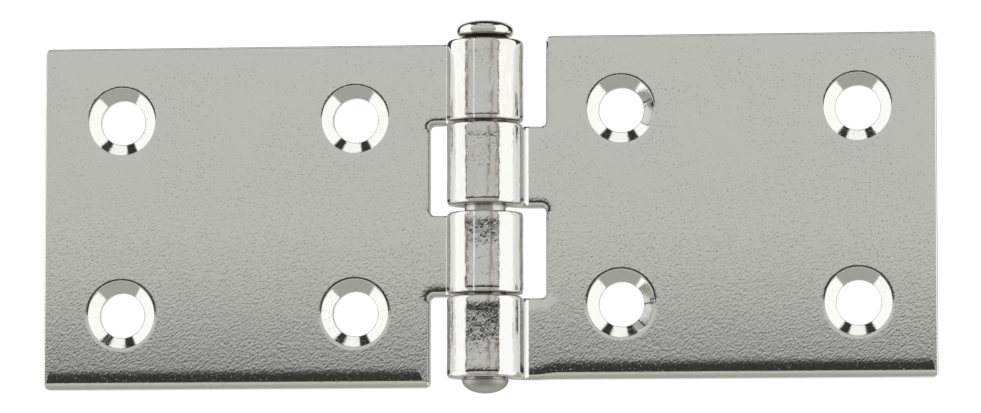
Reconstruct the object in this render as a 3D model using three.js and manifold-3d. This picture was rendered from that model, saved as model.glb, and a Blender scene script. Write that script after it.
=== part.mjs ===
// A rectangular table hinge: two alike leaves of rolled sheet steel on one riveted pin.
//
// Millimetres, +Z up along the pin. The leaves lie open and flat, the left one towards -X
// and the right one towards +X. The countersunk faces and the proud side of the barrel look
// towards -Y, and the flat backs towards +Y. The origin is on the pin's axis, halfway
// between the top of its head and the tip of its tail.
import * as THREE from "three";
import { mergeVertices } from "three/addons/utils/BufferGeometryUtils.js";
import Module from "manifold-3d";

// Leaf
const LEAF_HEIGHT = 40; // along the pin
const LEAF_REACH = 52; // from the pin's axis to the outer edge
const SHEET = 2; // thickness of the steel
const CORNER_RADIUS = 0.7; // outer corners of the stamping

// Knuckles
const KNUCKLES_PER_LEAF = 2;
const KNUCKLE_PLAY = 1.2; // free travel of one leaf along the other
const KNUCKLE_GAP = 0.3; // what is left of that play under each knuckle of the left leaf
const NOTCH_CLEARANCE = 2.3; // from the barrel to the edge of a notch
const NOTCH_FILLET = 0.6; // inner corners of a notch
const BEND_RADIUS = 0.8; // hollow bend between the plate's front and the barrel
const SEAM_GAP = 0.15; // between the rolled end and the back of the bend

// Screw holes
const HOLE_DIAMETER = 5.2;
const COUNTERSINK_DIAMETER = 7.8;
const COUNTERSINK_ANGLE = Math.PI / 2;
const ROW_MARGIN = 8.7; // from the top and bottom edges to the hole centres
const OUTER_COLUMN_MARGIN = 9.1; // from the outer edge
const INNER_COLUMN_MARGIN = 8.7; // from the edge of the notches

// Pin
const PIN_DIAMETER = 4.8;
const PIN_CLEARANCE = 0.1; // radial, in the knuckles
const HEAD_OVERHANG = 0.9; // radial, past the shank
const HEAD_HEIGHT = 1.7;
const HEAD_RIM = 0.5; // radius of the head's round rim
const HEAD_GAP = 0.7; // over the top knuckle
const TAIL_OVERHANG = 0.3; // radial, past the shank
const TAIL_HEIGHT = 1.55;
const TAIL_GAP = 0.2; // under the bottom knuckle

// Fineness of the round shapes
const ARC_SEGMENTS = 16;
const TURNED_SEGMENTS = 48;
const DOME_STEPS = 6;
const CUT_MARGIN = 1; // how far a cutting shape stands past what it cuts

// Worked out from the values above
const pinRadius = PIN_DIAMETER / 2;
const boreRadius = pinRadius + PIN_CLEARANCE;
const barrelRadius = boreRadius + SHEET;
const plateBack = barrelRadius;
const plateFront = plateBack - SHEET;
const notchEdge = barrelRadius + NOTCH_CLEARANCE;
const knucklePitch = LEAF_HEIGHT / KNUCKLES_PER_LEAF;
const knuckleLength = (knucklePitch - KNUCKLE_PLAY) / 2;
const rightLeafLift = KNUCKLE_PLAY - KNUCKLE_GAP;

const wasm = await Module();
wasm.setup();

// A closed geometry as a solid that can be joined and cut.
function toSolid(geometry) {
  const bare = geometry.clone();
  bare.deleteAttribute("normal");
  bare.deleteAttribute("uv");
  const merged = mergeVertices(bare);
  const mesh = new wasm.Mesh({
    numProp: 3,
    vertProperties: merged.attributes.position.array,
    triVerts: new Uint32Array(merged.index.array),
  });
  return new wasm.Manifold(mesh);
}

// A solid as a geometry to draw.
function toGeometry(solid) {
  const mesh = solid.getMesh();
  const geometry = new THREE.BufferGeometry();
  geometry.setAttribute("position", new THREE.BufferAttribute(mesh.vertProperties, 3));
  geometry.setIndex(new THREE.BufferAttribute(mesh.triVerts, 1));
  geometry.computeVertexNormals();
  return geometry;
}

function extrude(shape, depth) {
  return new THREE.ExtrudeGeometry(shape, {
    depth,
    bevelEnabled: false,
    curveSegments: ARC_SEGMENTS,
  });
}

// The rolled sheet seen along the pin. From the plate's front it turns through a hollow bend
// into the barrel, runs round the bore by the front, and ends at the back, where its edge
// almost touches the outside of the bend.
function rolledProfile() {
  const bendDistance = barrelRadius + BEND_RADIUS;
  const bendY = plateFront - BEND_RADIUS;
  const bendX = Math.sqrt(bendDistance ** 2 - bendY ** 2);
  const bendAngle = Math.atan2(bendY, bendX);
  const bendOutside = BEND_RADIUS + SHEET;
  const seamReach = bendOutside + SEAM_GAP;
  const seamCosine =
    (barrelRadius ** 2 + bendDistance ** 2 - seamReach ** 2) / (2 * barrelRadius * bendDistance);
  const seamAngle = bendAngle + Math.acos(seamCosine);

  const shape = new THREE.Shape();
  shape.moveTo(LEAF_REACH + CUT_MARGIN, plateFront);
  shape.lineTo(bendX, plateFront);
  shape.absarc(bendX, bendY, BEND_RADIUS, Math.PI / 2, Math.PI + bendAngle, false);
  shape.absarc(0, 0, barrelRadius, bendAngle, seamAngle, true);
  shape.absarc(0, 0, boreRadius, seamAngle, bendAngle, false);
  shape.absarc(bendX, bendY, bendOutside, Math.PI + bendAngle, Math.PI / 2, true);
  shape.lineTo(LEAF_REACH + CUT_MARGIN, plateBack);
  return shape;
}

// Adds a right-angled corner to an outline as a quarter circle.
function addRoundCorner(shape, before, corner, after, radius) {
  const toBefore = before.clone().sub(corner).setLength(radius);
  const toAfter = after.clone().sub(corner).setLength(radius);
  const centre = corner.clone().add(toBefore).add(toAfter);
  const startAngle = toAfter.clone().negate().angle();
  const endAngle = toBefore.clone().negate().angle();
  const clockwise = toBefore.cross(toAfter) > 0;
  shape.absarc(centre.x, centre.y, radius, startAngle, endAngle, clockwise);
}

// The stamped outline of the right leaf seen from the front, with a tongue for each knuckle
// that reaches past the barrel.
function blankOutline() {
  const half = LEAF_HEIGHT / 2;
  const tongueEnd = -barrelRadius - CUT_MARGIN;
  const corners = [
    { x: LEAF_REACH, z: -half, radius: CORNER_RADIUS },
    { x: LEAF_REACH, z: half, radius: CORNER_RADIUS },
    { x: notchEdge, z: half, radius: CORNER_RADIUS },
  ];
  for (let i = KNUCKLES_PER_LEAF - 1; i >= 0; i--) {
    const bottom = -half + i * knucklePitch;
    const top = bottom + knuckleLength;
    corners.push({ x: notchEdge, z: top, radius: NOTCH_FILLET });
    corners.push({ x: tongueEnd, z: top, radius: 0 });
    corners.push({ x: tongueEnd, z: bottom, radius: 0 });
    if (i > 0) corners.push({ x: notchEdge, z: bottom, radius: NOTCH_FILLET });
  }
  const points = corners.map(({ x, z }) => new THREE.Vector2(x, z));

  const shape = new THREE.Shape();
  corners.forEach(({ x, z, radius }, i) => {
    if (radius === 0) {
      shape.lineTo(x, z);
      return;
    }
    const before = points.at(i - 1);
    const after = points[(i + 1) % points.length];
    addRoundCorner(shape, before, points[i], after, radius);
  });
  return shape;
}

// A screw hole's cutting shape, with its cone opening towards -Y.
function countersunkHole(x, z) {
  const holeRadius = HOLE_DIAMETER / 2;
  const rimRadius = COUNTERSINK_DIAMETER / 2;
  const slope = Math.tan(COUNTERSINK_ANGLE / 2);
  const coneEnd = plateFront + (rimRadius - holeRadius) / slope;
  const profile = [
    new THREE.Vector2(0, plateFront - CUT_MARGIN),
    new THREE.Vector2(rimRadius + CUT_MARGIN * slope, plateFront - CUT_MARGIN),
    new THREE.Vector2(holeRadius, coneEnd),
    new THREE.Vector2(holeRadius, plateBack + CUT_MARGIN),
    new THREE.Vector2(0, plateBack + CUT_MARGIN),
  ];
  const cutter = new THREE.LatheGeometry(profile, TURNED_SEGMENTS);
  cutter.translate(x, 0, z);
  return toSolid(cutter);
}

// The right leaf, centred on the pin's axis at half its height.
function leafGeometry() {
  const rolled = extrude(rolledProfile(), LEAF_HEIGHT + 2 * CUT_MARGIN);
  rolled.translate(0, 0, -LEAF_HEIGHT / 2 - CUT_MARGIN);

  const depth = barrelRadius + CUT_MARGIN;
  const blank = extrude(blankOutline(), 2 * depth);
  blank.rotateX(Math.PI / 2);
  blank.translate(0, depth, 0);

  let leaf = toSolid(rolled).intersect(toSolid(blank));
  const columns = [notchEdge + INNER_COLUMN_MARGIN, LEAF_REACH - OUTER_COLUMN_MARGIN];
  const row = LEAF_HEIGHT / 2 - ROW_MARGIN;
  for (const x of columns) {
    for (const z of [-row, row]) {
      leaf = leaf.subtract(countersunkHole(x, z));
    }
  }
  return toGeometry(leaf);
}

// Points on a quarter ellipse about (0, y), from its widest point to the axis.
// A positive height rises to the axis, and a negative one falls.
function domePoints(radius, y, height) {
  return Array.from({ length: DOME_STEPS + 1 }, (_, i) => {
    const angle = (i / DOME_STEPS) * (Math.PI / 2);
    return new THREE.Vector2(i < DOME_STEPS ? radius * Math.cos(angle) : 0, y + height * Math.sin(angle));
  });
}

// The pin, from the tip of its peened tail up to the top of its button head.
function pinGeometry(shankBottom, shankTop) {
  const headRadius = pinRadius + HEAD_OVERHANG;
  const tailRadius = pinRadius + TAIL_OVERHANG;
  const underRim = Array.from({ length: DOME_STEPS }, (_, i) => {
    const angle = -Math.PI / 2 + (i / DOME_STEPS) * (Math.PI / 2);
    return new THREE.Vector2(
      headRadius - HEAD_RIM + HEAD_RIM * Math.cos(angle),
      shankTop + HEAD_RIM + HEAD_RIM * Math.sin(angle),
    );
  });
  const profile = [
    ...domePoints(tailRadius, shankBottom, -TAIL_HEIGHT).reverse(),
    new THREE.Vector2(pinRadius, shankBottom),
    new THREE.Vector2(pinRadius, shankTop),
    ...underRim,
    ...domePoints(headRadius, shankTop + HEAD_RIM, HEAD_HEIGHT - HEAD_RIM),
  ];
  const pin = new THREE.LatheGeometry(profile, TURNED_SEGMENTS);
  pin.rotateX(Math.PI / 2);
  return pin;
}

function makeMesh(name, geometry, material) {
  const mesh = new THREE.Mesh(geometry, material);
  mesh.name = name;
  return mesh;
}

const platedSteel = new THREE.MeshStandardMaterial({
  color: 0xb9bab5,
  roughness: 0.3,
  metalness: 1,
});
const pinSteel = new THREE.MeshStandardMaterial({
  color: 0xa5a499,
  roughness: 0.35,
  metalness: 1,
});

// The pin's shoulders stand off the outermost knuckles by their gaps.
const shankTop = LEAF_HEIGHT / 2 + HEAD_GAP;
const shankBottom = -LEAF_HEIGHT / 2 + rightLeafLift - TAIL_GAP;
const topOfHead = shankTop + HEAD_HEIGHT;
const tipOfTail = shankBottom - TAIL_HEIGHT;

const leaf = leafGeometry();
const rightLeaf = makeMesh("right_leaf", leaf, platedSteel);
rightLeaf.position.z = rightLeafLift;
const leftLeaf = makeMesh("left_leaf", leaf, platedSteel);
leftLeaf.rotation.y = Math.PI;
const hingePin = makeMesh("hinge_pin", pinGeometry(shankBottom, shankTop), pinSteel);

const hinge = new THREE.Group();
hinge.add(leftLeaf, rightLeaf, hingePin);
hinge.position.z = -(topOfHead + tipOfTail) / 2;

export default hinge;
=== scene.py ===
"""The looks of a rolled-steel table hinge: two plated leaves and their riveted pin.

Metres, +Z up along the pin, countersunk faces towards -Y. Each leaf is made the way it is
stamped: a flat blank with its die-rolled edges and countersunk holes is cut into strips and
then rolled up by a Geometry Nodes tree. The pin is turned from its profile.
"""

import math
from typing import NamedTuple

import bmesh
import bpy
from mathutils import Matrix, Vector
from mathutils.geometry import tessellate_polygon


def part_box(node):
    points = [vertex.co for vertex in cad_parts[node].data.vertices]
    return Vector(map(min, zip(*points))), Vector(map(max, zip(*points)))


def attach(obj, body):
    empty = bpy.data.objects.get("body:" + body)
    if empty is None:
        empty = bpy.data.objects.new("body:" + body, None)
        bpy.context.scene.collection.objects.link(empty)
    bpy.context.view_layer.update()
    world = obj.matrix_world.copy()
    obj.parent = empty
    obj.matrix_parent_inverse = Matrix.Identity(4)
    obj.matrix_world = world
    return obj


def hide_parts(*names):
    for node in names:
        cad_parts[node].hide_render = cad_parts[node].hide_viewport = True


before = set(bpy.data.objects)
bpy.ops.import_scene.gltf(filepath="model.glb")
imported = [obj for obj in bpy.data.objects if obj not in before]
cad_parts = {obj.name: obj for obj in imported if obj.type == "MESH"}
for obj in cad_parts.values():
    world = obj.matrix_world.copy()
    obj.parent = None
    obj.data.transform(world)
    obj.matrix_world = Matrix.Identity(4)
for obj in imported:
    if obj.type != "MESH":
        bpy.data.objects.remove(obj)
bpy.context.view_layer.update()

MM = 0.001
scene = bpy.context.scene

# Sheet and barrel
SHEET = 2.0 * MM
BEND_RADIUS = 0.95 * MM
SEAM_GAP = 0.15 * MM
BARREL_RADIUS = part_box("right_leaf")[1].y
BORE_RADIUS = BARREL_RADIUS - SHEET

# Outline of the blank
CORNER_RADIUS = 0.7 * MM
NOTCH_FILLET = 0.6 * MM
NOTCH_EDGE = BARREL_RADIUS + 2.3 * MM
KNUCKLE_PLAY = 1.2 * MM
BARREL_SIDE_REACH = 1.2 * MM


class Edge(NamedTuple):
    """How the die draws a front edge down: a long shallow droop that ends in a round. The last field
    darkens the cut side below it and the back round: painted shade on the knuckle ends, where the
    knuckles meet, and on the tongue's end in the seam; less darkening on the outer edges and leaf
    ends."""
    width: float
    droop: float
    round: float
    dirt_and_shade: float


# The last number of each edge darkens its cut side: painted shade on the knuckle ends and on the
# tongue's end in the seam, less on the outer edges and leaf ends.
OUTER_EDGE = Edge(2.5 * MM, 0.1 * MM, 0.3 * MM, 0.15)
KNUCKLE_EDGE = Edge(1.7 * MM, 0.04 * MM, 0.3 * MM, 0.8)
TONGUE_END = Edge(0.9 * MM, 0.03 * MM, 0.2 * MM, 1.0)
LEAF_END = Edge(0.8 * MM, 0.02 * MM, 0.22 * MM, 0.4)
ROUND_SHARE = 0.33
BACK_ROUND = 0.1 * MM
LEAST_RADIUS = 0.03 * MM
LEAST_EDGE = 0.0004 * MM
SUPPORT_SHARE = 0.02
EDGE_WANDER = 0.04 * MM
WANDER_SCALE = 450.0

# The roll
BARREL_WAIST = 0.06 * MM
WAIST_FLARE = 2.2
CLEAR_OF_BOX = 0.01 * MM
PRESS_MARK_WIDTH = 0.15 * MM
PRESS_MARK_PLACE = 5.7 * MM
TEAR_WIDTH = 0.2 * MM


class Roll(NamedTuple):
    """Marks of the roll on one leaf's knuckles. A place is a length of sheet past the bend."""
    press_mark: float
    first_tear: float
    second_tear: float


LEFT_ROLL = Roll(0.068 * MM, 5.1 * MM, 7.4 * MM)
RIGHT_ROLL = Roll(0.02 * MM, 5.1 * MM, 5.85 * MM)

# Screw holes
HOLE_RADIUS = 2.6 * MM
COUNTERSINK_RADIUS = 3.9 * MM
ROW_MARGIN = 8.7 * MM
OUTER_COLUMN_MARGIN = 9.1 * MM
INNER_COLUMN_MARGIN = 8.7 * MM
COUNTERSINK_DEPTH = 0.93 * MM
HOLE_RIM = 0.05 * MM
HOLE_SEGMENTS = 128

# Pin
PIN_RADIUS = 2.4 * MM
HEAD_RADIUS = 3.3 * MM
HEAD_HEIGHT = 1.95 * MM
HEAD_RIM = 0.6 * MM
HEAD_SQUARENESS = 2.5
NECK_FILLET = 0.15 * MM
# The neck's length and fade set a band of painted shade under the head, in the narrow gap over the top
# knuckle.
SHADED_NECK_LENGTH = 0.8 * MM
NECK_SHADE_FADE = 0.4 * MM
TAIL_RADIUS = 2.7 * MM
TAIL_HEIGHT = 1.55 * MM
TAIL_SEAT = 0.03 * MM
TAIL_DIRT = 0.5
SHANK_DIRT = 0.2
PIN_SEGMENTS = 128

# Fineness
CORNER_STEPS = 10
DROOP_STEPS = 6
ROUND_STEPS = 8
BEND_STEPS = 14
BARREL_STEPS = 160
MARK_STEPS = 4
MARK_STEP_SHIFT = 0.37

# Plating: depths in micrometres, scales of the noise per metre
PEEL_DEPTH = 4.4
PIT_DEPTH = 3.5
CRACK_DEPTH = 6.0
ROLL_LINE_DEPTH = 17.0
PEEL_SCALE = 4500.0
PIT_SCALE = 5600.0
CLOUD_SCALE = 170.0
ROLL_LINE_SCALE = 3400.0
BAND_SCALE = 520.0
GRAIN_SLANT = -0.9
LEAF_GRAIN_OFFSET = 0.2
PIT_COLOUR = (0.35, 0.35, 0.33, 1)
CRACK_COLOUR = (0.42, 0.36, 0.29, 1)
LEAF_COLOUR = (0.70, 0.70, 0.69, 1)
# Also the colour of the painted shade on the knuckle ends and in the seam.
LEAF_DIRT_AND_SHADE_COLOUR = (0.12, 0.11, 0.09, 1)
PIN_COLOUR = (0.70, 0.70, 0.68, 1)
# Also the colour of the painted shade under the pin's head; on the shank and tail it is their own
# duller tone.
PIN_DIRT_AND_SHADE_COLOUR = (0.16, 0.15, 0.115, 1)

# Camera
CAMERA_TARGET = Vector((0.0006, 0.0, 0.0))
CAMERA_DISTANCE = 0.688
CAMERA_AZIMUTH = math.radians(5.74)
CAMERA_ELEVATION = math.radians(-5.34)
CAMERA_LENS = 218.6

# Studio
FLOOR_DROP = 0.1
FLOOR_REACH = 4.0
FLOOR_COLOUR = (0.85, 0.85, 0.85, 1.0)
FLOOR_LIGHT_STRENGTH = 1.0
FLOOR_LIGHT_SPREAD = math.radians(60)
FLOOR_LIGHT_TILT = 0.3
PAPER_STRENGTH = 1.05


def make_camera():
    """A long lens, a little below the hinge and to its right."""
    data = bpy.data.cameras.new("camera")
    data.lens = CAMERA_LENS
    data.clip_start = 0.01
    camera = bpy.data.objects.new("camera", data)
    scene.collection.objects.link(camera)
    away = Vector((
        math.sin(CAMERA_AZIMUTH) * math.cos(CAMERA_ELEVATION),
        -math.cos(CAMERA_AZIMUTH) * math.cos(CAMERA_ELEVATION),
        math.sin(CAMERA_ELEVATION),
    ))
    camera.location = CAMERA_TARGET + CAMERA_DISTANCE * away
    camera.rotation_euler = (-away).to_track_quat("-Z", "Y").to_euler()
    scene.camera = camera


# ---------------------------------------------------------------------------
# Node helpers
# ---------------------------------------------------------------------------

class Tree:
    """Short ways to add nodes to a node tree and wire them."""

    def __init__(self, tree):
        self.tree = tree

    def add(self, kind, settings=None, **inputs):
        node = self.tree.nodes.new(kind)
        for name, value in (settings or {}).items():
            setattr(node, name, value)
        for name, value in inputs.items():
            self.plug(node.inputs[name.replace("_", " ")], value)
        return node

    def plug(self, socket, value):
        if isinstance(value, bpy.types.NodeSocket):
            self.tree.links.new(value, socket)
        else:
            socket.default_value = value

    def math(self, operation, *values, clamp=False):
        node = self.tree.nodes.new("ShaderNodeMath")
        node.operation = operation
        node.use_clamp = clamp
        for socket, value in zip(node.inputs, values):
            self.plug(socket, value)
        return node.outputs[0]


def new_group(name, kind, inputs, outputs):
    """A node group with (name, socket type, default) inputs and (name, socket type) outputs."""
    tree = bpy.data.node_groups.new(name, kind)
    for label, socket_type, default in inputs:
        socket = tree.interface.new_socket(label, in_out="INPUT", socket_type=socket_type)
        if default is not None:
            socket.default_value = default
    for label, socket_type in outputs:
        tree.interface.new_socket(label, in_out="OUTPUT", socket_type=socket_type)
    t = Tree(tree)
    return t, t.add("NodeGroupInput").outputs, t.add("NodeGroupOutput").inputs


# ---------------------------------------------------------------------------
# The leaf: a flat blank, then the roll
# ---------------------------------------------------------------------------

def bend_layout():
    """Centre of the hollow bend, the angle it is seen at from the pin, and where the roll ends."""
    distance = BARREL_RADIUS + BEND_RADIUS
    centre_y = BORE_RADIUS - BEND_RADIUS
    centre_x = math.sqrt(distance ** 2 - centre_y ** 2)
    angle = math.atan2(centre_y, centre_x)
    reach = BEND_RADIUS + SHEET + SEAM_GAP
    cosine = (BARREL_RADIUS ** 2 + distance ** 2 - reach ** 2) / (2 * BARREL_RADIUS * distance)
    seam_angle = angle + math.acos(cosine)
    return centre_x, angle, seam_angle


BEND_X, BEND_ANGLE, SEAM_ANGLE = bend_layout()
BEND_LENGTH = (BEND_RADIUS + SHEET / 2) * (math.pi / 2 + BEND_ANGLE)
BARREL_TURN = 2 * math.pi + BEND_ANGLE - SEAM_ANGLE
TONGUE_TIP = BEND_X - BEND_LENGTH - (BORE_RADIUS + SHEET / 2) * BARREL_TURN


def blank_corners(reach, half_height):
    """Corners of the blank, counter-clockwise: (x, z, radius, edge before, edge after).
    A corner with no radius lies on a straight edge, where the kind of edge changes."""
    knuckle = (half_height - KNUCKLE_PLAY) / 2
    corners = [
        (reach, -half_height, CORNER_RADIUS, OUTER_EDGE, LEAF_END),
        (reach, half_height, CORNER_RADIUS, LEAF_END, OUTER_EDGE),
        (NOTCH_EDGE, half_height, CORNER_RADIUS, OUTER_EDGE, KNUCKLE_EDGE),
    ]
    for bottom in (0.0, -half_height):
        top = bottom + knuckle
        corners += [
            (NOTCH_EDGE, top, NOTCH_FILLET, KNUCKLE_EDGE, KNUCKLE_EDGE),
            (TONGUE_TIP, top, CORNER_RADIUS, KNUCKLE_EDGE, TONGUE_END),
            (TONGUE_TIP, bottom, CORNER_RADIUS, TONGUE_END, KNUCKLE_EDGE),
        ]
        if bottom == 0.0:
            corners.append((NOTCH_EDGE, bottom, NOTCH_FILLET, KNUCKLE_EDGE, KNUCKLE_EDGE))
    corners += [
        (NOTCH_EDGE - BARREL_SIDE_REACH, -half_height, 0.0, KNUCKLE_EDGE, KNUCKLE_EDGE),
        (NOTCH_EDGE + BARREL_SIDE_REACH, -half_height, 0.0, OUTER_EDGE, OUTER_EDGE),
    ]
    return corners


def outline_loop(corners, share, base, droop, rounding):
    """The outline moved inwards by a share of each edge's width, as (x, z, depth, dirt) points.
    The depth is the base, and the given parts of each edge's own droop and round."""
    points = []
    for i, (x, z, radius, edge_before, edge_after) in enumerate(corners):
        corner = Vector((x, z))
        ahead = (Vector(corners[(i + 1) % len(corners)][:2]) - corner).normalized()
        behind = (corner - Vector(corners[i - 1][:2])).normalized()
        inward_before = Vector((-behind.y, behind.x))
        inward_after = Vector((-ahead.y, ahead.x))
        before = share * edge_before.width
        after = share * edge_after.width
        depth_before = base + droop * edge_before.droop + rounding * edge_before.round
        depth_after = base + droop * edge_after.droop + rounding * edge_after.round
        if radius == 0.0:
            points.append((*(corner + before * inward_before), depth_before, edge_before.dirt_and_shade))
            continue
        convex = behind.x * ahead.y - behind.y * ahead.x > 0
        if convex:
            turned = max(radius - max(before, after), LEAST_RADIUS)
            centre = corner + (before + turned) * inward_before + (after + turned) * inward_after
            start = -inward_before
            end = -inward_after
        else:
            turned = radius + max(before, after)
            centre = corner + (before - turned) * inward_before + (after - turned) * inward_after
            start = inward_before
            end = inward_after
        first = math.atan2(start.y, start.x)
        sweep = math.atan2(start.x * end.y - start.y * end.x, start.dot(end))
        for k in range(CORNER_STEPS + 1):
            part = k / CORNER_STEPS
            angle = first + sweep * part
            point = centre + turned * Vector((math.cos(angle), math.sin(angle)))
            depth = depth_before + (depth_after - depth_before) * part
            dirt_and_shade = edge_before.dirt_and_shade + (edge_after.dirt_and_shade - edge_before.dirt_and_shade) * part
            points.append((*point, depth, dirt_and_shade))
    return points


def edge_rings(corners):
    """(points, raggedness, dirt and painted shade) for each ring of the blank's edge, from the front
    to the back.
    """
    rings = [(outline_loop(corners, 1 + SUPPORT_SHARE, 0.0, 0.0, 0.0), 0.0, 0.0)]
    for k in range(DROOP_STEPS):
        share = 1 - (1 - ROUND_SHARE) * k / DROOP_STEPS
        drawn = (1 - share) ** 3
        rings.append((outline_loop(corners, share, 0.0, drawn, 0.0), 0.5 * (1 - share) ** 2, 0.0))
    for k in range(ROUND_STEPS + 1):
        angle = k / ROUND_STEPS * math.pi / 2
        share = ROUND_SHARE * (1 - math.sin(angle))
        loop = outline_loop(corners, share, 0.0, (1 - share) ** 3, 1 - math.cos(angle))
        dirt_and_shade = max(0.0, 2 * math.sin(angle) - 1.4)
        rings.append((loop, 0.22 + 0.78 * math.sin(angle), dirt_and_shade))
    share = BACK_ROUND / OUTER_EDGE.width
    for inwards, depth, ragged, dirt_and_shade in (
        (0.0, SHEET - BACK_ROUND, 0.3, 1.0),
        (0.3 * share, SHEET - 0.3 * BACK_ROUND, 0.2, 0.8),
        (share, SHEET, 0.02, 0.4),
        (2 * share, SHEET, 0.0, 0.2),
    ):
        rings.append((outline_loop(corners, inwards, depth, 0.0, 0.0), ragged, dirt_and_shade))
    return rings


def hole_rings(x, z):
    """(points, raggedness, darkening) for each ring down a countersunk hole. The rim sinks a little
    before the cone, and the rim and the throat are slightly rounded. The rim, the throat and the bore
    are darkened a little."""
    rim = HOLE_RIM
    slope = COUNTERSINK_DEPTH / (COUNTERSINK_RADIUS - HOLE_RADIUS)
    profile = [
        (COUNTERSINK_RADIUS + 8 * rim, 0.0, 0.0, 0.0),
        (COUNTERSINK_RADIUS + 7 * rim, 0.0, 0.0, 0.0),
        (COUNTERSINK_RADIUS + 4 * rim, 0.08 * rim, 0.02, 0.0),
        (COUNTERSINK_RADIUS + 1.7 * rim, 0.3 * rim, 0.1, 0.02),
        (COUNTERSINK_RADIUS + 0.4 * rim, 0.6 * rim, 0.15, 0.08),
        (COUNTERSINK_RADIUS - 0.4 * rim, (0.8 + 0.4 * slope) * rim, 0.1, 0.03),
        (COUNTERSINK_RADIUS - 1.4 * rim, (0.8 + 1.4 * slope) * rim, 0.02, 0.0),
        (COUNTERSINK_RADIUS - 2.4 * rim, (0.8 + 2.4 * slope) * rim, 0.0, 0.0),
        (HOLE_RADIUS + 2.0 * rim, COUNTERSINK_DEPTH + (0.8 - 2.0 * slope) * rim, 0.0, 0.0),
        (HOLE_RADIUS + 1.0 * rim, COUNTERSINK_DEPTH + (0.8 - 1.0 * slope) * rim, 0.02, 0.0),
        (HOLE_RADIUS + 0.3 * rim, COUNTERSINK_DEPTH + 0.8 * rim, 0.05, 0.06),
        (HOLE_RADIUS, COUNTERSINK_DEPTH + 1.5 * rim, 0.05, 0.09),
        (HOLE_RADIUS, COUNTERSINK_DEPTH + 2.5 * rim, 0.0, 0.08),
        (HOLE_RADIUS, SHEET - 3 * rim, 0.0, 0.06),
        (HOLE_RADIUS, SHEET - 2 * rim, 0.0, 0.03),
        (HOLE_RADIUS + 0.6 * rim, SHEET - 0.6 * rim, 0.1, 0.0),
        (HOLE_RADIUS + 2 * rim, SHEET, 0.0, 0.0),
        (HOLE_RADIUS + 3 * rim, SHEET, 0.0, 0.0),
    ]
    turn = [2 * math.pi * i / HOLE_SEGMENTS for i in range(HOLE_SEGMENTS)]
    rings = []
    for radius, depth, ragged, dirt_and_shade in profile:
        points = [(x + radius * math.cos(a), z + radius * math.sin(a), depth, 1.0) for a in turn]
        rings.append((points, ragged, dirt_and_shade))
    return rings


def add_rings(bm, rings):
    """Vertices for each ring of (points, raggedness, dirt and painted shade), joined ring to ring. The
    first and last rings are returned as vertex lists."""
    ragged_layer = bm.verts.layers.float["ragged"]
    dirt_and_shade_layer = bm.verts.layers.float["dirt_and_shade"]
    made = []
    for points, ragged, dirt_and_shade in rings:
        ring = []
        for x, z, depth, share in points:
            vertex = bm.verts.new((x, BORE_RADIUS + depth, z))
            vertex[ragged_layer] = ragged
            vertex[dirt_and_shade_layer] = dirt_and_shade * share
            ring.append(vertex)
        made.append(ring)
    for upper, lower in zip(made, made[1:]):
        count = len(upper)
        for i in range(count):
            j = (i + 1) % count
            bm.faces.new((upper[i], upper[j], lower[j], lower[i]))
    return made[0], made[-1]


def fill_face(bm, loops):
    """Fills a flat face between an outline and its holes, given as vertex lists."""
    flat = [[Vector((v.co.x, v.co.z, 0.0)) for v in loop] for loop in loops]
    every = [v for loop in loops for v in loop]
    for triangle in tessellate_polygon(flat):
        bm.faces.new([every[i] for i in triangle])


def make_blank(name, reach, half_height):
    """The right leaf before it is rolled: a closed flat sheet, its front at the bore's radius. It
    is cut into strips where it will bend."""
    bm = bmesh.new()
    bm.verts.layers.float.new("ragged")
    bm.verts.layers.float.new("dirt_and_shade")
    corners = blank_corners(reach - EDGE_WANDER / 2, half_height - EDGE_WANDER / 2)
    front, back = add_rings(bm, edge_rings(corners))
    front_loops, back_loops = [front], [back]

    columns = (NOTCH_EDGE + INNER_COLUMN_MARGIN, reach - OUTER_COLUMN_MARGIN)
    row = half_height - ROW_MARGIN
    for x in columns:
        for z in (-row, row):
            hole_front, hole_back = add_rings(bm, hole_rings(x, z))
            front_loops.append(hole_front)
            back_loops.append(hole_back)
    fill_face(bm, front_loops)
    fill_face(bm, back_loops)

    bend_cuts = [BEND_X - BEND_LENGTH * k / BEND_STEPS for k in range(BEND_STEPS)]
    barrel_start = BEND_X - BEND_LENGTH
    barrel_cuts = [
        barrel_start + (TONGUE_TIP - barrel_start) * k / BARREL_STEPS for k in range(BARREL_STEPS)
    ]
    mark_start = barrel_start - PRESS_MARK_PLACE
    mark_cuts = [
        mark_start + PRESS_MARK_WIDTH * (k + MARK_STEP_SHIFT) / MARK_STEPS for k in range(-10, 10)
    ]
    for x in bend_cuts + barrel_cuts + mark_cuts:
        tongue = [f for f in bm.faces if any(v.co.x < x for v in f.verts)]
        edges = {e for f in tongue for e in f.edges}
        verts = {v for f in tongue for v in f.verts}
        bmesh.ops.bisect_plane(
            bm,
            geom=list(verts) + list(edges) + tongue,
            dist=1e-8,
            plane_co=(x, 0, 0),
            plane_no=(1, 0, 0),
        )
    bmesh.ops.dissolve_degenerate(bm, dist=LEAST_EDGE, edges=bm.edges)
    bmesh.ops.recalc_face_normals(bm, faces=bm.faces)
    mesh = bpy.data.meshes.new(name)
    bm.to_mesh(mesh)
    bm.free()
    blank = bpy.data.objects.new(name, mesh)
    scene.collection.objects.link(blank)
    return blank


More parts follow.
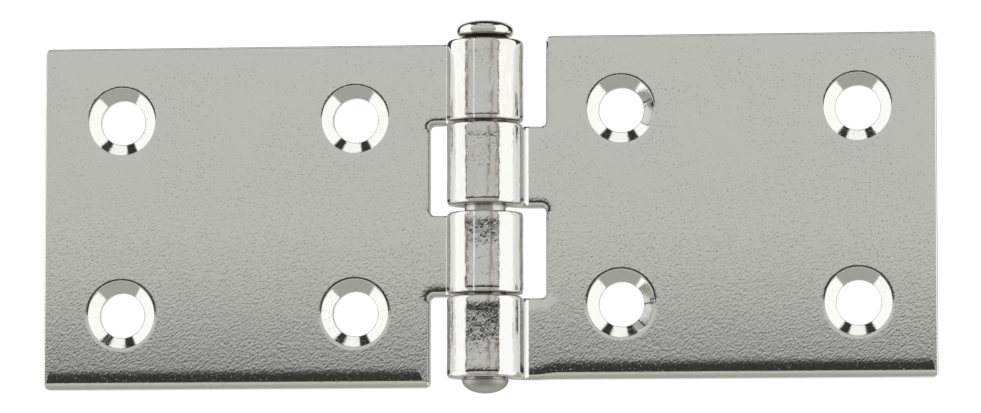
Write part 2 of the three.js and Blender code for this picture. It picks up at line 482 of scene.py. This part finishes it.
def roll_tree(material):
    """Geometry Nodes that roll the tongues of a blank round the pin, and keep each point's place
    on the blank in the attribute grain_place."""
    t, given, result = new_group(
        "roll_blank",
        "GeometryNodeTree",
        [
            ("Blank", "NodeSocketGeometry", None),
            ("Sheet", "NodeSocketFloat", SHEET),
            ("Bore Radius", "NodeSocketFloat", BORE_RADIUS),
            ("Bend Radius", "NodeSocketFloat", BEND_RADIUS),
            ("Knuckle Pitch", "NodeSocketFloat", 20 * MM),
            ("Knuckle Length", "NodeSocketFloat", 9.4 * MM),
            ("Waist", "NodeSocketFloat", BARREL_WAIST),
            ("Press Mark", "NodeSocketFloat", 0.0),
            ("First Tear", "NodeSocketFloat", 5 * MM),
            ("Second Tear", "NodeSocketFloat", 6 * MM),
            ("Edge Wander", "NodeSocketFloat", EDGE_WANDER),
            ("Grain Offset", "NodeSocketFloat", 0.0),
        ],
        [("Leaf", "NodeSocketGeometry")],
    )
    sheet, bore, bend = given["Sheet"], given["Bore Radius"], given["Bend Radius"]
    place = t.add("GeometryNodeInputPosition").outputs[0]
    split = t.add("ShaderNodeSeparateXYZ", Vector=place).outputs
    half_sheet = t.math("MULTIPLY", sheet, 0.5)
    barrel_middle = t.math("ADD", bore, half_sheet)
    bend_middle = t.math("ADD", bend, half_sheet)
    outwards = t.math("SUBTRACT", split["Y"], barrel_middle)

    distance = t.math("ADD", t.math("ADD", bore, sheet), bend)
    centre_y = t.math("SUBTRACT", bore, bend)
    squares = t.math("SUBTRACT", t.math("POWER", distance, 2.0), t.math("POWER", centre_y, 2.0))
    centre_x = t.math("SQRT", squares)
    seen_at = t.math("ARCTAN2", centre_y, centre_x)
    bend_turn = t.math("ADD", seen_at, math.pi / 2)
    bend_length = t.math("MULTIPLY", bend_middle, bend_turn)
    past = t.math("SUBTRACT", centre_x, split["X"])

    angle = t.math("ADD", t.math("DIVIDE", past, bend_middle), math.pi / 2)
    radius = t.math("ADD", bend_middle, outwards)
    in_bend = t.add(
        "ShaderNodeCombineXYZ",
        X=t.math("ADD", centre_x, t.math("MULTIPLY", radius, t.math("COSINE", angle))),
        Y=t.math("ADD", centre_y, t.math("MULTIPLY", radius, t.math("SINE", angle))),
        Z=split["Z"],
    ).outputs[0]

    past_bend = t.math("SUBTRACT", past, bend_length)
    turned = t.math("DIVIDE", past_bend, barrel_middle)
    angle = t.math("SUBTRACT", seen_at, turned)
    pitch = given["Knuckle Pitch"]
    along = t.math("FLOORED_MODULO", t.math("ADD", split["Z"], pitch), pitch)
    half_knuckle = t.math("MULTIPLY", given["Knuckle Length"], 0.5)
    from_middle = t.math("ABSOLUTE", t.math("SUBTRACT", t.math("DIVIDE", along, half_knuckle), 1.0))
    flare = t.math("POWER", t.math("MINIMUM", from_middle, 1.0), WAIST_FLARE)
    rolled_in = t.math("DIVIDE", past_bend, barrel_middle, clamp=True)
    waist = t.math("MULTIPLY", given["Waist"], t.math("SUBTRACT", 1.0, flare))
    waist = t.math("MULTIPLY", t.math("ADD", waist, CLEAR_OF_BOX), rolled_in)

    def near(place, width):
        """1 at a length of sheet past the bend, fading to 0 a width or two away."""
        apart = t.math("ABSOLUTE", t.math("DIVIDE", t.math("SUBTRACT", past_bend, place), width))
        return t.math("EXPONENT", t.math("MULTIPLY", t.math("POWER", apart, 2.0), -1.0))

    mark = near(PRESS_MARK_PLACE, PRESS_MARK_WIDTH)
    waist = t.math("ADD", waist, t.math("MULTIPLY", mark, given["Press Mark"]))
    outer_share = t.math("SUBTRACT", 0.5, t.math("DIVIDE", outwards, sheet), clamp=True)
    waist = t.math("MULTIPLY", waist, outer_share)
    radius = t.math("SUBTRACT", t.math("SUBTRACT", barrel_middle, outwards), waist)
    in_barrel = t.add(
        "ShaderNodeCombineXYZ",
        X=t.math("MULTIPLY", radius, t.math("COSINE", angle)),
        Y=t.math("MULTIPLY", radius, t.math("SINE", angle)),
        Z=split["Z"],
    ).outputs[0]

    ragged = t.add("GeometryNodeInputNamedAttribute", {"data_type": "FLOAT"}, Name="ragged").outputs[0]
    wander = t.add("ShaderNodeTexNoise", Vector=place, Scale=WANDER_SCALE, Detail=2.0)
    centred = t.add("ShaderNodeVectorMath", {"operation": "SUBTRACT"})
    t.plug(centred.inputs[0], wander.outputs["Color"])
    t.plug(centred.inputs[1], (0.5, 0.5, 0.5))
    shake = t.add("ShaderNodeVectorMath", {"operation": "SCALE"})
    t.plug(shake.inputs[0], centred.outputs[0])
    t.plug(shake.inputs["Scale"], t.math("MULTIPLY", ragged, given["Edge Wander"]))

    vector = {"input_type": "VECTOR"}
    rolled = t.add("GeometryNodeSwitch", vector, Switch=t.math("GREATER_THAN", past_bend, 0.0))
    t.plug(rolled.inputs["False"], in_bend)
    t.plug(rolled.inputs["True"], in_barrel)
    placed = t.add("GeometryNodeSwitch", vector, Switch=t.math("GREATER_THAN", past, 0.0))
    t.plug(placed.inputs["False"], place)
    t.plug(placed.inputs["True"], rolled.outputs[0])

    offset = t.add("ShaderNodeCombineXYZ", Z=given["Grain Offset"]).outputs[0]
    grain = t.add("ShaderNodeVectorMath", {"operation": "ADD"})
    t.plug(grain.inputs[0], place)
    t.plug(grain.inputs[1], offset)
    vector_store = {"data_type": "FLOAT_VECTOR", "domain": "POINT"}
    store = t.add("GeometryNodeStoreNamedAttribute", vector_store, Name="grain_place")
    t.plug(store.inputs["Geometry"], given["Blank"])
    t.plug(store.inputs["Value"], grain.outputs[0])
    float_store = {"data_type": "FLOAT", "domain": "POINT"}
    tears = (near(given["First Tear"], TEAR_WIDTH), near(given["Second Tear"], TEAR_WIDTH))
    for name, value in (("rolled", rolled_in), ("torn", t.math("MAXIMUM", *tears))):
        blank = store.outputs[0]
        store = t.add("GeometryNodeStoreNamedAttribute", float_store, Geometry=blank, Name=name)
        t.plug(store.inputs["Value"], value)
    move = t.add("GeometryNodeSetPosition", Geometry=store.outputs[0], Position=placed.outputs[0])
    t.plug(move.inputs["Offset"], shake.outputs[0])
    realize = t.add("GeometryNodeRealizeInstances", Geometry=move.outputs[0])
    finish = t.add("GeometryNodeSetMaterial", Geometry=realize.outputs[0], Material=material)
    t.plug(result["Leaf"], finish.outputs[0])
    return t.tree


def set_modifier_input(modifier, name, value):
    """Sets a Geometry Nodes modifier's input by its socket's identifier."""
    for item in modifier.node_group.interface.items_tree:
        if item.item_type == "SOCKET" and item.in_out == "INPUT" and item.name == name:
            modifier[item.identifier] = value


def bake_modifiers(source, name):
    """A plain-mesh object from the source's evaluated mesh. The source is removed."""
    graph = bpy.context.evaluated_depsgraph_get()
    mesh = bpy.data.meshes.new_from_object(source.evaluated_get(graph))
    mesh.name = name
    bpy.data.objects.remove(source)
    piece = bpy.data.objects.new(name, mesh)
    scene.collection.objects.link(piece)
    return piece


def shade_smooth(piece):
    """Smooth shading that keeps flat faces flat."""
    piece.data.shade_smooth()
    modifier = piece.modifiers.new("flat_faces", "WEIGHTED_NORMAL")
    modifier.mode = "FACE_AREA"
    modifier.weight = 50
    return bake_modifiers(piece, piece.name)


def make_leaf(node, side, tree):
    """A finished leaf on its CAD node's place. side is +1 for the right leaf and -1 for the left."""
    low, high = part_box(node)
    half_height = (high.z - low.z) / 2
    reach = high.x if side > 0 else -low.x
    blank = make_blank(node + "_blank", reach, half_height)
    modifier = blank.modifiers.new("roll", "NODES")
    modifier.node_group = tree
    set_modifier_input(modifier, "Knuckle Pitch", half_height)
    set_modifier_input(modifier, "Knuckle Length", (half_height - KNUCKLE_PLAY) / 2)
    roll = RIGHT_ROLL if side > 0 else LEFT_ROLL
    set_modifier_input(modifier, "Press Mark", roll.press_mark)
    set_modifier_input(modifier, "First Tear", roll.first_tear)
    set_modifier_input(modifier, "Second Tear", roll.second_tear)
    set_modifier_input(modifier, "Grain Offset", LEAF_GRAIN_OFFSET * side)
    leaf = bake_modifiers(blank, node + "_rolled")
    turn = Matrix.Rotation(0 if side > 0 else math.pi, 4, "Y")
    leaf.data.transform(Matrix.Translation((0, 0, (high.z + low.z) / 2)) @ turn)
    leaf = shade_smooth(leaf)
    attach(leaf, node)
    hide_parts(node)
    return leaf


# ---------------------------------------------------------------------------
# The pin
# ---------------------------------------------------------------------------

def quarter_arc(centre_r, centre_z, width, height, first, last, steps):
    """(radius, z) points of an elliptic arc between two angles in degrees."""
    points = []
    for k in range(steps + 1):
        angle = math.radians(first + (last - first) * k / steps)
        points.append((centre_r + width * math.cos(angle), centre_z + height * math.sin(angle)))
    return points


def button_dome(centre_z, width, height, squareness, steps):
    """(radius, z) points from the widest place up to the tip of a dome with full shoulders."""
    points = []
    for k in range(1, steps):
        angle = math.pi / 2 * k / steps
        radius = width * math.cos(angle) ** (2 / squareness)
        points.append((radius, centre_z + height * math.sin(angle) ** (2 / squareness)))
    return points + [(0.0, centre_z + height)]


def pin_profile():
    """(radius, z, dirt and painted shade) points of the pin, from the tip of its tail to the top of
    its head. The neck just under the head is painted dark as the shade in the narrow gap over the top
    knuckle; the shank and tail get their own duller, beige tone.
    """
    low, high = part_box("hinge_pin")
    under_head = high.z - HEAD_HEIGHT
    over_tail = low.z + TAIL_HEIGHT
    seat = over_tail + TAIL_SEAT
    fillet = NECK_FILLET
    widest = under_head + HEAD_RIM
    tail = quarter_arc(0, over_tail, TAIL_RADIUS, TAIL_HEIGHT, -90, 0, 20)
    tail += [(TAIL_RADIUS - TAIL_SEAT, seat)]
    shank = [(PIN_RADIUS, seat), (PIN_RADIUS, under_head - SHADED_NECK_LENGTH - NECK_SHADE_FADE)]
    neck = [(PIN_RADIUS, under_head - SHADED_NECK_LENGTH), (PIN_RADIUS, under_head - fillet)]
    neck += quarter_arc(PIN_RADIUS + fillet, under_head - fillet, fillet, fillet, 180, 90, 4)[1:]
    head = quarter_arc(HEAD_RADIUS - HEAD_RIM, widest, HEAD_RIM, HEAD_RIM, -90, 0, 10)
    head += button_dome(widest, HEAD_RADIUS, HEAD_HEIGHT - HEAD_RIM, HEAD_SQUARENESS, 32)
    profile = []
    # The neck's full weight is painted shade under the head; the shank and tail weights are their own
    # duller tone.
    for part, dirt_and_shade in ((tail, TAIL_DIRT), (shank, SHANK_DIRT), (neck, 1.0), (head, 0.0)):
        profile += [(radius, z, dirt_and_shade) for radius, z in part]
    return profile


def make_pin(material):
    """The pin, turned from its profile."""
    bm = bmesh.new()
    dirt_and_shade_layer = bm.verts.layers.float.new("dirt_and_shade")
    rings = []
    for radius, z, dirt_and_shade in pin_profile():
        count = 1 if radius < LEAST_EDGE else PIN_SEGMENTS
        turn = [2 * math.pi * i / count for i in range(count)]
        ring = [bm.verts.new((radius * math.cos(a), radius * math.sin(a), z)) for a in turn]
        for vertex in ring:
            vertex[dirt_and_shade_layer] = dirt_and_shade
        rings.append(ring)
    for lower, upper in zip(rings, rings[1:]):
        for i in range(PIN_SEGMENTS):
            j = (i + 1) % PIN_SEGMENTS
            if len(lower) == 1:
                bm.faces.new((lower[0], upper[j], upper[i]))
            elif len(upper) == 1:
                bm.faces.new((lower[i], lower[j], upper[0]))
            else:
                bm.faces.new((lower[i], lower[j], upper[j], upper[i]))
    bmesh.ops.recalc_face_normals(bm, faces=bm.faces)
    mesh = bpy.data.meshes.new("hinge_pin_turned")
    bm.to_mesh(mesh)
    bm.free()
    mesh.materials.append(material)
    pin = bpy.data.objects.new("hinge_pin_turned", mesh)
    scene.collection.objects.link(pin)
    pin = shade_smooth(pin)
    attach(pin, "pin")
    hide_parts("hinge_pin")
    return pin


# ---------------------------------------------------------------------------
# Materials
# ---------------------------------------------------------------------------

def new_material(name):
    material = bpy.data.materials.new(name)
    material.use_nodes = True
    material.node_tree.nodes.clear()
    return material, Tree(material.node_tree)


def plating_group():
    """Bright plating over rolled steel. The height is in micrometres: orange peel, slanting pits
    in patches, and roll lines and cracks along the barrel where the sheet is rolled up."""
    t, given, result = new_group(
        "bright_plating",
        "ShaderNodeTree",
        [
            ("Place", "NodeSocketVector", None),
            ("Rolled", "NodeSocketFloat", 0.0),
            ("Torn", "NodeSocketFloat", 0.0),
            ("Peel Depth", "NodeSocketFloat", 1.0),
            ("Pit Depth", "NodeSocketFloat", 1.0),
            ("Crack Depth", "NodeSocketFloat", 1.0),
            ("Roll Line Depth", "NodeSocketFloat", 1.0),
        ],
        [
            ("Height", "NodeSocketFloat"),
            ("Pitted", "NodeSocketFloat"),
            ("Cracked", "NodeSocketFloat"),
        ],
    )
    place = given["Place"]

    def noise(vector, scale, detail):
        return t.add("ShaderNodeTexNoise", Vector=vector, Scale=scale, Detail=detail).outputs[0]

    def stretched(angle, along, across):
        mapping = t.add("ShaderNodeMapping", {"vector_type": "TEXTURE"}, Vector=place)
        mapping.inputs["Rotation"].default_value = (0, angle, 0)
        mapping.inputs["Scale"].default_value = (along, 1.0, across)
        return mapping.outputs[0]

    def between(value, low, high):
        smooth = {"interpolation_type": "SMOOTHSTEP"}
        node = t.add("ShaderNodeMapRange", smooth, Value=value, From_Min=low, From_Max=high)
        return node.outputs[0]

    slant = stretched(GRAIN_SLANT, 1.6, 0.9)
    peel = noise(slant, PEEL_SCALE, 2.5)
    cloud = noise(place, CLOUD_SCALE, 3.0)
    pits = noise(slant, PIT_SCALE, 1.5)
    patches = t.math("ADD", 0.3, t.math("MULTIPLY", between(cloud, 0.36, 0.62), 0.7))
    pitted = t.math("MULTIPLY", between(pits, 0.63, 0.76), patches)
    lines = noise(stretched(0.0, 1.0, 4.0), ROLL_LINE_SCALE, 2.5)
    bands = noise(stretched(0.0, 1.0, 40.0), BAND_SCALE, 1.0)
    banded = t.math("MULTIPLY", between(bands, 0.5, 0.66), 0.15)
    torn = t.math("MULTIPLY", t.math("MAXIMUM", banded, given["Torn"]), given["Rolled"])
    cracked = t.math("MULTIPLY", between(lines, 0.4, 0.54), torn)
    roll_lines = t.math("MULTIPLY", lines, given["Rolled"])
    height = t.math("MULTIPLY", peel, given["Peel Depth"])
    height = t.math("ADD", height, t.math("MULTIPLY", roll_lines, given["Roll Line Depth"]))
    height = t.math("SUBTRACT", height, t.math("MULTIPLY", pitted, given["Pit Depth"]))
    height = t.math("SUBTRACT", height, t.math("MULTIPLY", cracked, given["Crack Depth"]))
    t.plug(result["Height"], height)
    t.plug(result["Pitted"], pitted)
    t.plug(result["Cracked"], cracked)
    return t.tree


def plated_steel(name, group, colour, dirt_and_shade_colour, roughness, dirt_and_shade_roughness, place_attribute=None):
    """Plated steel that a dirt and painted shade attribute darkens and dulls: painted shade under the
    pin's head, on the knuckle ends and in the seam, and a darker, duller tone elsewhere. On a leaf,
    the pattern follows the sheet round the barrel through an attribute."""
    material, t = new_material(name)

    def attribute(label, output="Fac"):
        return t.add("ShaderNodeAttribute", {"attribute_name": label}).outputs[output]

    def tinted(amount, base, colour):
        mix = t.add("ShaderNodeMix", {"data_type": "RGBA"})
        for socket, value in ((0, amount), (6, base), (7, colour)):
            t.plug(mix.inputs[socket], value)
        return mix.outputs[2]

    if place_attribute:
        place = attribute(place_attribute, "Vector")
        rolled = attribute("rolled")
        torn = attribute("torn")
    else:
        place = t.add("ShaderNodeTexCoord").outputs["Object"]
        rolled = torn = 0.0
    plating = t.add("ShaderNodeGroup", {"node_tree": group}, Place=place, Rolled=rolled, Torn=torn)
    plating.inputs["Peel Depth"].default_value = PEEL_DEPTH
    plating.inputs["Pit Depth"].default_value = PIT_DEPTH
    plating.inputs["Crack Depth"].default_value = CRACK_DEPTH
    plating.inputs["Roll Line Depth"].default_value = ROLL_LINE_DEPTH
    # This mask darkens and dulls the colour: painted shade under the pin's head, on the knuckle ends
    # and in the seam.
    dirt_and_shade = attribute("dirt_and_shade")
    shade = tinted(t.math("MULTIPLY", plating.outputs["Pitted"], 0.5), colour, PIT_COLOUR)
    shade = tinted(t.math("MULTIPLY", plating.outputs["Cracked"], 0.8), shade, CRACK_COLOUR)
    shade = tinted(dirt_and_shade, shade, dirt_and_shade_colour)
    rough = t.math("ADD", roughness, t.math("MULTIPLY", plating.outputs["Pitted"], 0.25))
    rough = t.math("ADD", rough, t.math("MULTIPLY", dirt_and_shade, dirt_and_shade_roughness))
    bump = t.add("ShaderNodeBump", Height=plating.outputs["Height"], Strength=1.0, Distance=1e-6)
    shader = t.add("ShaderNodeBsdfPrincipled", Metallic=1.0, Roughness=rough, Normal=bump.outputs[0])
    t.plug(shader.inputs["Base Color"], shade)
    output = t.add("ShaderNodeOutputMaterial")
    t.plug(output.inputs["Surface"], shader.outputs[0])
    return material


# ---------------------------------------------------------------------------
# Studio
# ---------------------------------------------------------------------------

def panel_group():
    """A soft-edged panel of light on the sky, as a mask over azimuth and elevation in degrees."""
    t, given, result = new_group(
        "light_panel",
        "ShaderNodeTree",
        [
            ("Azimuth", "NodeSocketFloat", 0.0),
            ("Elevation", "NodeSocketFloat", 0.0),
            ("Left", "NodeSocketFloat", -10.0),
            ("Right", "NodeSocketFloat", 10.0),
            ("Bottom", "NodeSocketFloat", -10.0),
            ("Top", "NodeSocketFloat", 10.0),
            ("Soft", "NodeSocketFloat", 5.0),
        ],
        [("Mask", "NodeSocketFloat")],
    )

    def rise(value, edge):
        """0 to 1 as the value passes the edge."""
        past = t.math("DIVIDE", t.math("SUBTRACT", value, edge), given["Soft"])
        return t.math("ADD", past, 0.5, clamp=True)

    azimuth = given["Azimuth"]
    elevation = given["Elevation"]
    across = t.math("MULTIPLY", rise(azimuth, given["Left"]), rise(given["Right"], azimuth))
    up = t.math("MULTIPLY", rise(elevation, given["Bottom"]), rise(given["Top"], elevation))
    t.plug(result["Mask"], t.math("MULTIPLY", across, up))
    return t.tree


# What the hinge reflects, back to front: (left, right, bottom, top, softness) in degrees from the
# front (-Y) to the right, then the colour
PANELS = {
    "backdrop_left": ((-200, -150, -60, 40, 8), (0.9, 0.9, 0.87)),
    "backdrop_right": ((150, 200, -60, 40, 8), (0.9, 0.9, 0.87)),
    "table": ((-200, 200, -100, -5.5, 1.5), (0.69, 0.69, 0.59)),
    "near_floor": ((-110, 110, -100, -24, 20), (0.5, 0.5, 0.47)),
    "dark_wall_left": ((-200, -115, -60, -16, 8), (0.42, 0.42, 0.4)),
    "dark_wall_right": ((115, 200, -60, -16, 8), (0.42, 0.42, 0.4)),
    "back_floor_left": ((-230, -110, -100, -32, 30), (0.95, 0.95, 0.92)),
    "back_floor_right": ((110, 230, -100, -32, 30), (0.95, 0.95, 0.92)),
    "front_screen": ((-52.5, 44.5, 3.75, 62, 0.5), (0.705, 0.712, 0.67)),
    "left_softbox": ((-119, -55.5, -42, 55, 3), (1.38, 1.38, 1.34)),
    "right_softbox": ((47.5, 113, -42, 55, 3), (1.38, 1.38, 1.34)),
    "top_softbox": ((-80, 80, 69, 84, 2), (1.3, 1.3, 1.27)),
}
ROOM_COLOUR = (0.045, 0.045, 0.04, 1.0)


def make_world():
    """The panels are what the metal mirrors. Behind the hinge the camera sees white paper."""
    world = bpy.data.worlds.new("studio")
    scene.world = world
    world.use_nodes = True
    world.node_tree.nodes.clear()
    t = Tree(world.node_tree)
    group = panel_group()
    direction = t.add("ShaderNodeTexCoord").outputs["Generated"]
    split = t.add("ShaderNodeSeparateXYZ", Vector=direction).outputs
    azimuth = t.math("ARCTAN2", split["X"], t.math("MULTIPLY", split["Y"], -1.0))
    azimuth = t.math("DEGREES", azimuth)
    elevation = t.math("DEGREES", t.math("ARCSINE", split["Z"]))

    light = ROOM_COLOUR
    for edges, colour in PANELS.values():
        panel = t.add("ShaderNodeGroup", {"node_tree": group}, Azimuth=azimuth, Elevation=elevation)
        for side, value in zip(("Left", "Right", "Bottom", "Top", "Soft"), edges):
            panel.inputs[side].default_value = value
        mix = t.add("ShaderNodeMix", {"data_type": "RGBA"})
        for socket, value in ((0, panel.outputs[0]), (6, light), (7, (*colour, 1.0))):
            t.plug(mix.inputs[socket], value)
        light = mix.outputs[2]

    seen = t.add("ShaderNodeLightPath").outputs["Is Camera Ray"]
    sky = t.add("ShaderNodeBackground", Color=light)
    paper = t.add("ShaderNodeBackground", Color=(1.0, 1.0, 1.0, 1.0), Strength=PAPER_STRENGTH)
    both = t.add("ShaderNodeMixShader")
    for socket, value in zip(both.inputs, (seen, sky.outputs[0], paper.outputs[0])):
        t.plug(socket, value)
    output = t.add("ShaderNodeOutputWorld")
    t.plug(output.inputs["Surface"], both.outputs[0])


def make_floor():
    """A pale floor well under the hinge, which hangs free as if held by the back of a leaf. From
    below, the floor is clear."""
    material, t = new_material("floor_paper")
    shader = t.add("ShaderNodeBsdfPrincipled", Roughness=0.9)
    shader.inputs["Base Color"].default_value = FLOOR_COLOUR
    underside = t.add("ShaderNodeNewGeometry").outputs["Backfacing"]
    clear = t.add("ShaderNodeBsdfTransparent")
    one_sided = t.add("ShaderNodeMixShader")
    for socket, value in zip(one_sided.inputs, (underside, shader.outputs[0], clear.outputs[0])):
        t.plug(socket, value)
    output = t.add("ShaderNodeOutputMaterial")
    t.plug(output.inputs["Surface"], one_sided.outputs[0])
    mesh = bpy.data.meshes.new("floor")
    size, z = FLOOR_REACH, -FLOOR_DROP
    corners = [(-size, -size, z), (size, -size, z), (size, size, z), (-size, size, z)]
    mesh.from_pydata(corners, [], [(0, 1, 2, 3)])
    mesh.materials.append(material)
    floor = bpy.data.objects.new("floor", mesh)
    scene.collection.objects.link(floor)
    floor.visible_glossy = False


def make_floor_light():
    """A broad light from above for the floor. The metal doesn't mirror it."""
    data = bpy.data.lights.new("floor_light", "SUN")
    data.energy = FLOOR_LIGHT_STRENGTH
    data.angle = FLOOR_LIGHT_SPREAD
    light = bpy.data.objects.new("floor_light", data)
    light.rotation_euler = (FLOOR_LIGHT_TILT, 0.0, 0.0)
    light.visible_glossy = False
    scene.collection.objects.link(light)


make_camera()
make_world()
make_floor()
make_floor_light()
scene.view_settings.view_transform = "Standard"

plating = plating_group()
leaf_steel = plated_steel(
    "plated_leaf",
    plating,
    LEAF_COLOUR,
    LEAF_DIRT_AND_SHADE_COLOUR,
    roughness=0.06,
    dirt_and_shade_roughness=0.3,
    place_attribute="grain_place",
)
pin_steel = plated_steel(
    "plated_pin",
    plating,
    PIN_COLOUR,
    PIN_DIRT_AND_SHADE_COLOUR,
    roughness=0.1,
    dirt_and_shade_roughness=0.7,
)
tree = roll_tree(leaf_steel)
make_leaf("right_leaf", 1, tree)
make_leaf("left_leaf", -1, tree)
make_pin(pin_steel)
